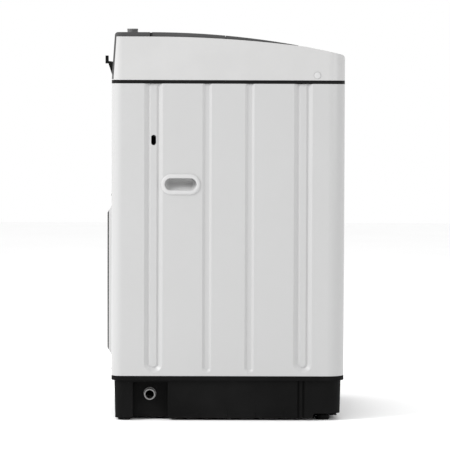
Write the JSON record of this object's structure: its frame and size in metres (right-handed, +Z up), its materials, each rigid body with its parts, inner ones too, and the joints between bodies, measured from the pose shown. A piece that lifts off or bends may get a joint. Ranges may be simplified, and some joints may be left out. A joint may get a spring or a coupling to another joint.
{
  "type": "top load washing machine",
  "caption": "Top load washing machine: ribbed sheet cabinet, folding glass lid, sloped control panel, hung tub with spinning basket, belt drive and dark plastic base.",
  "frame": {"origin": "on the floor under the middle of the whole machine, hook included", "axes": "+Z up, front towards -Y, left side towards -X"},
  "size_m": [0.545, 0.577, 0.9425],
  "materials": {
    "cabinet_paint": "smooth light paint on pressed sheet",
    "zinc": "zinc plated",
    "dark_plastic": "fine texture",
    "white_plastic": "satin",
    "cap_plastic": "satin",
    "grey_plastic": "fine texture",
    "dark_rubber": "matte",
    "drawer_plastic": "satin",
    "panel_gloss": "high gloss",
    "display_glass": "smoked window",
    "board": "coated board in a tray",
    "button_metal": "satin plating",
    "lid_plastic": "satin",
    "lid_glass": "tinted, tempered",
    "steel": "turned",
    "base_plastic": "fine texture",
    "drain_plastic": "moulded",
    "tub_plastic": "moulded",
    "motor_can": "coated can",
    "pulley_aluminium": "cast",
    "basket_steel": "bright",
    "flange_aluminium": "cast",
    "filter_plastic": "moulded",
    "ring_plastic": "satin",
    "pulsator_plastic": "satin"
  },
  "bodies": {
    "housing": {"cabinet": "cabinet_paint", "rear_cover": "dark_plastic", "rear_cover_screws": "zinc", "band": "dark_plastic", "top_cover": "white_plastic", "screw_caps": "cap_plastic", "rear_deck": "lid_plastic", "hose_hook": "dark_plastic", "inlet_valve": "grey_plastic", "inlet_pipe": "dark_rubber", "dispenser_housing": "dark_plastic", "control_panel": "panel_gloss", "display_window": "display_glass", "control_board": "board", "lid_hinge_pins": "steel", "lid_bumpers": "dark_rubber", "lid_lock": "grey_plastic", "cord_gland": "dark_plastic", "base_frame": "base_plastic", "bottom_guard": "base_plastic", "drain_outlet": "drain_plastic", "rear_feet": "dark_rubber", "handle_cup_left": "white_plastic", "handle_cup_right": "white_plastic", "corner_brackets": "zinc", "suspension_rods": "steel", "suspension_springs": "steel"},
    "lid_rear": {"lid_rear_frame": "lid_plastic", "lid_rear_glass": "lid_glass", "lid_fold_pins": "steel"},
    "lid_front": {"lid_front_frame": "lid_plastic", "lid_front_glass": "lid_glass"},
    "drawer": {"detergent_drawer": "drawer_plastic"},
    "power": {"button_power": "button_metal"},
    "start": {"button_start": "button_metal"},
    "program": {"button_program": "button_metal"},
    "level": {"button_level": "button_metal"},
    "delay": {"button_delay": "button_metal"},
    "tub": {"outer_tub": "tub_plastic", "tub_ring": "tub_plastic", "support_plate": "zinc", "gearbox": "zinc", "drain_valve": "grey_plastic", "drain_actuator": "grey_plastic", "drain_hose": "dark_rubber", "motor": "motor_can", "drive_belt": "dark_rubber"},
    "spin_basket": {"basket": "basket_steel", "basket_flange": "flange_aluminium", "spin_shaft": "steel", "lint_filters": "filter_plastic", "balance_ring": "ring_plastic"},
    "agitator": {"pulsator": "pulsator_plastic", "pulsator_bolt": "steel", "wash_shaft": "steel"},
    "pulley": {"drive_pulley": "pulley_aluminium"},
    "rotor": {"motor_rotor": "steel"},
    "plunger": {"valve_plunger": "steel"},
    "foot_left": {"foot_front_left": "base_plastic"},
    "foot_right": {"foot_front_right": "base_plastic"}
  },
  "joints": [
    {"name": "lid_hinge", "type": "hinge", "parent": "housing", "child": "lid_rear", "pos_m": [0, 0.1735, 0.9265], "axis": [-1, 0, 0], "range_deg": [0, 90]},
    {"name": "lid_fold", "type": "hinge", "parent": "lid_rear", "child": "lid_front", "pos_m": [0, -0.001, 0.90983], "axis": [1, 0, 0], "range_deg": [0, 160.2]},
    {"name": "drawer_slide", "type": "slide", "parent": "housing", "child": "drawer", "axis": [0, -1, 0], "range_m": [0, 0.062]},
    {"name": "tub_bounce", "type": "slide", "parent": "housing", "child": "tub", "axis": [0, 0, 1], "range_m": [-0.02, 0.015], "stiffness_N_per_m": 20000, "deforming": ["suspension_springs", "drain_hose"]},
    {"name": "basket_spin", "type": "hinge", "parent": "tub", "child": "spin_basket", "pos_m": [0, -0.0085, 0.3], "axis": [0, 0, 1], "continuous": true},
    {"name": "pulley_spin", "type": "hinge", "parent": "tub", "child": "pulley", "pos_m": [0, -0.0085, 0.17], "axis": [0, 0, 1], "continuous": true},
    {"name": "pulsator_spin", "type": "hinge", "parent": "tub", "child": "agitator", "pos_m": [0, -0.0085, 0.32], "axis": [0, 0, 1], "continuous": true},
    {"name": "motor_spin", "type": "hinge", "parent": "tub", "child": "rotor", "pos_m": [0, 0.1415, 0.17], "axis": [0, 0, 1], "continuous": true},
    {"name": "valve_pull", "type": "slide", "parent": "tub", "child": "plunger", "axis": [0, -1, 0], "range_m": [0, 0.006], "stiffness_N_per_m": 200},
    {"name": "press_power", "type": "slide", "parent": "housing", "child": "power", "axis": [0, 0.2025, -0.9793], "range_m": [0, 0.001], "stiffness_N_per_m": 400, "springref_m": -0.0005},
    {"name": "press_start", "type": "slide", "parent": "housing", "child": "start", "axis": [0, 0.2025, -0.9793], "range_m": [0, 0.001], "stiffness_N_per_m": 400, "springref_m": -0.0005},
    {"name": "press_program", "type": "slide", "parent": "housing", "child": "program", "axis": [0, 0.2025, -0.9793], "range_m": [0, 0.001], "stiffness_N_per_m": 400, "springref_m": -0.0005},
    {"name": "press_level", "type": "slide", "parent": "housing", "child": "level", "axis": [0, 0.2025, -0.9793], "range_m": [0, 0.001], "stiffness_N_per_m": 400, "springref_m": -0.0005},
    {"name": "press_delay", "type": "slide", "parent": "housing", "child": "delay", "axis": [0, 0.2025, -0.9793], "range_m": [0, 0.001], "stiffness_N_per_m": 400, "springref_m": -0.0005},
    {"name": "foot_turn_left", "type": "hinge", "parent": "housing", "child": "foot_left", "pos_m": [-0.228, -0.2395, 0.02], "axis": [0, 0, 1], "continuous": true},
    {"name": "foot_turn_right", "type": "hinge", "parent": "housing", "child": "foot_right", "pos_m": [0.228, -0.2395, 0.02], "axis": [0, 0, 1], "continuous": true}
  ],
  "couplings": [
    {"joint": "lid_fold", "follows": "lid_hinge", "ratio": 1.78},
    {"joint": "motor_spin", "follows": "pulley_spin", "ratio": 3.8333},
    {"joint": "pulsator_spin", "follows": "pulley_spin", "ratio": 0.2}
  ]
}
